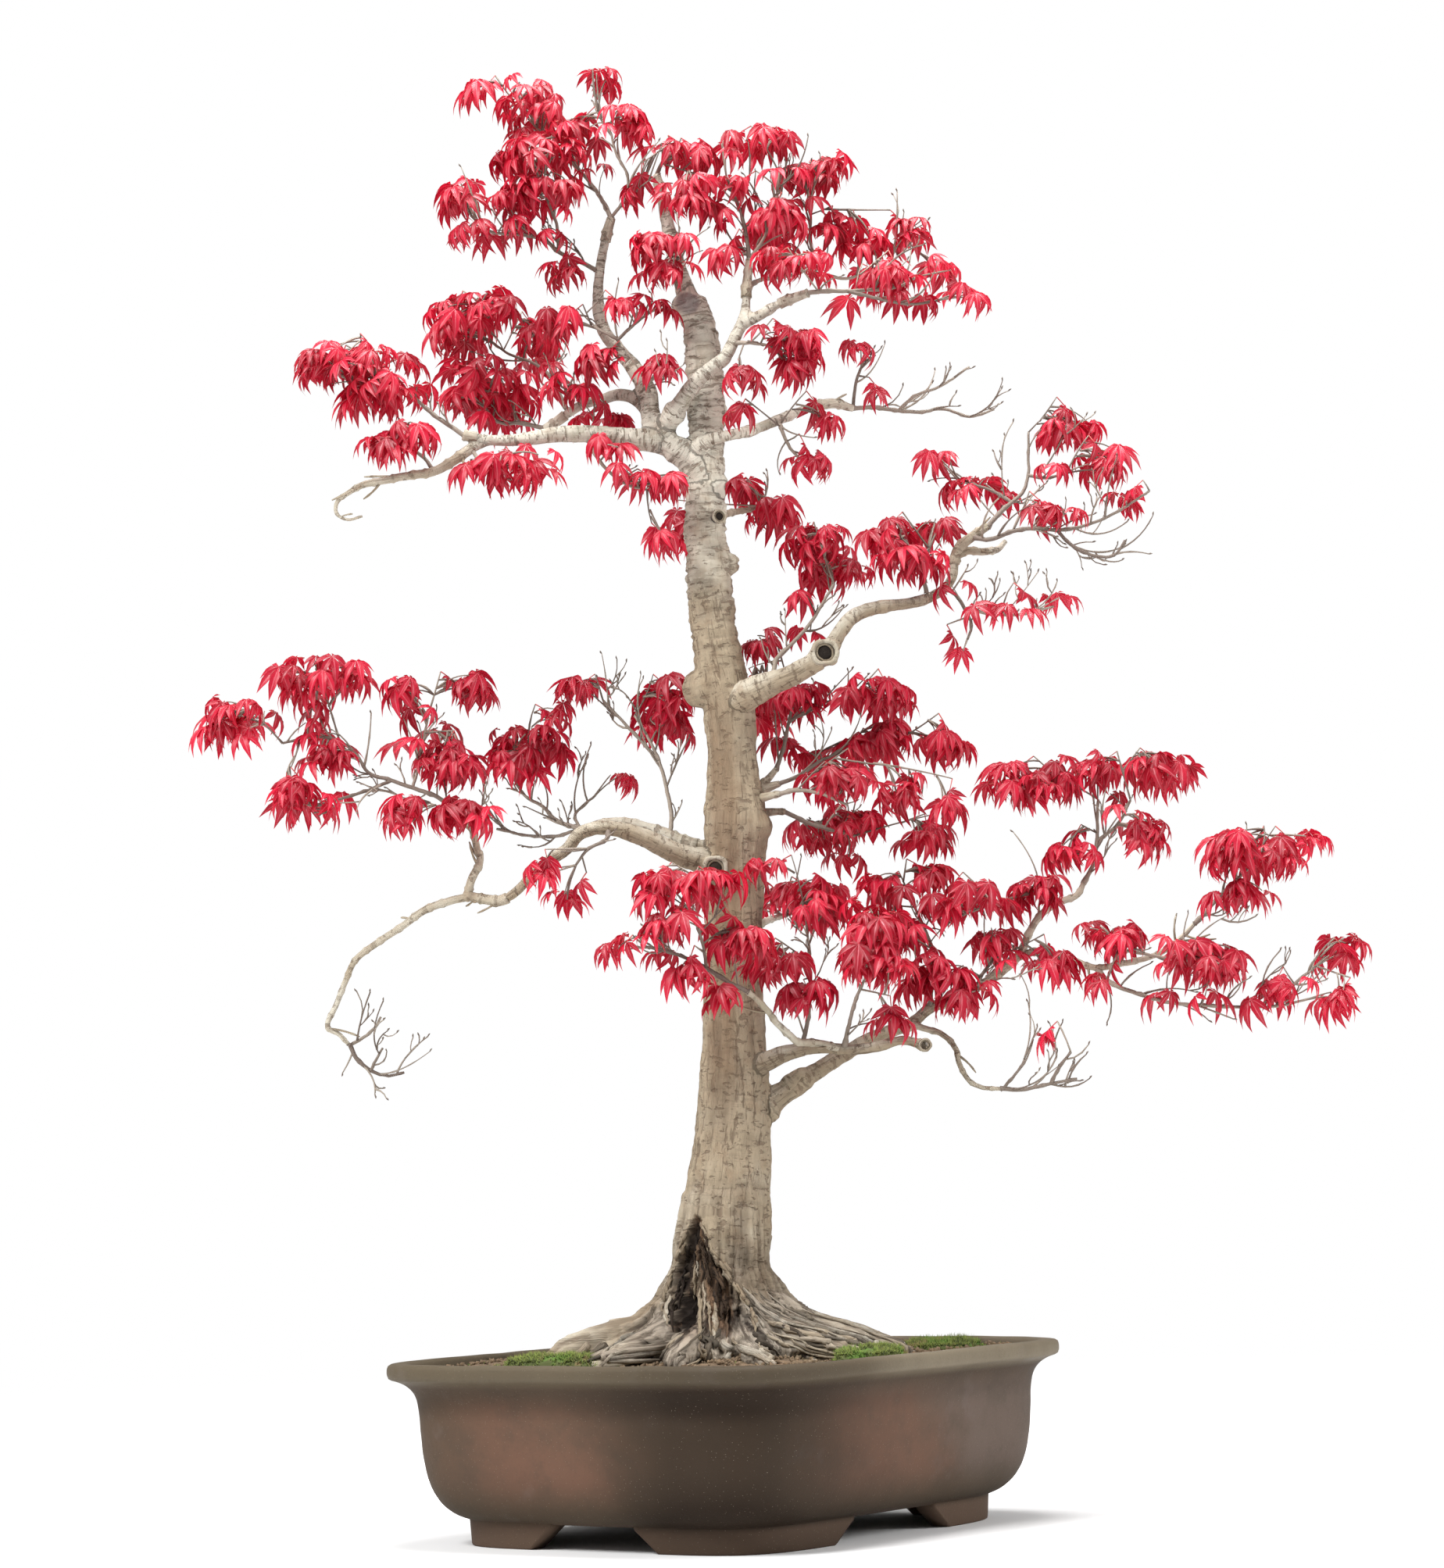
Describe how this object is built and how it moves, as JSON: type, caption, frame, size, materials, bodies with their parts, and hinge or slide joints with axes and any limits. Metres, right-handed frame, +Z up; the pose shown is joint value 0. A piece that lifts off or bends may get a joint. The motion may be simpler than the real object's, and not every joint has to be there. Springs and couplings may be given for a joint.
{
  "type": "bonsai maple tree in a pot",
  "caption": "Slender red-leaved maple bonsai with a tall tapering trunk, flared root crown and airy layered branches, in a wide rounded stoneware pot on four bracket feet",
  "frame": {"origin": "centre of the whole part's bounding box in X and Y, at the underside of the pot's feet", "axes": "X along the pot's long side, Y along its short side with -Y the front face, Z up; the tree shows its best side to a viewer at -55 degrees, between -X and -Y"},
  "size_m": [0.4376, 0.6866, 1.023],
  "materials": {
    "stoneware": "matte, unglazed",
    "soil": "rough, granular",
    "moss": "soft, matte",
    "drain_mesh": "matte",
    "bark": "rough bark",
    "foliage": "satin leaf"
  },
  "bodies": {
    "root": {"pot": "stoneware", "soil": "soil", "drain_screen_left": "drain_mesh", "drain_screen_right": "drain_mesh", "moss_front_left": "moss", "moss_front_right": "moss", "moss_right": "moss", "moss_back": "moss", "trunk_and_limbs": "bark", "spray_crown_left": "foliage", "spray_crown_shelf": "foliage", "spray_crown_middle": "foliage", "spray_crown_front": "foliage", "spray_crown_right": "foliage", "spray_crown_back": "foliage", "spray_right_shelf": "foliage", "spray_leader_inside": "foliage", "spray_right_bough_tip": "foliage", "spray_right_bough_under": "foliage", "spray_left_leader_side": "foliage", "spray_left_leader_low": "foliage", "spray_arched_left_side": "foliage", "spray_arched_left_tip": "foliage", "spray_arched_left_rise": "foliage", "spray_upper_left_tip": "foliage", "spray_bare_left_side": "foliage", "spray_bare_left_under": "foliage", "spray_upper_left_under": "foliage", "spray_back_high": "foliage", "spray_middle_right_shoot": "foliage", "spray_middle_right_middle": "foliage", "spray_far_right_top": "foliage", "spray_far_right_side": "foliage", "spray_middle_right_hanger": "foliage", "spray_left_fan": "foliage", "spray_left_rise_side": "foliage", "spray_left_bough_hanger": "foliage", "spray_bare_drop_tip": "foliage", "spray_slim_left_tip": "foliage", "spray_slim_left_rise": "foliage", "spray_tuft_high": "foliage", "spray_tuft_middle": "foliage", "spray_tuft_front": "foliage", "spray_tuft_low": "foliage", "spray_front_cross": "foliage", "spray_front_right_rise": "foliage", "spray_front_right_inner": "foliage", "spray_back_low": "foliage", "spray_low_right_rise": "foliage", "spray_right_rise_inner": "foliage", "spray_low_right_upper": "foliage", "spray_bare_right_tip": "foliage", "spray_right_top": "foliage", "spray_right_far": "foliage", "spray_right_tail_middle": "foliage", "spray_right_tail_low": "foliage"}
  },
  "joints": []
}
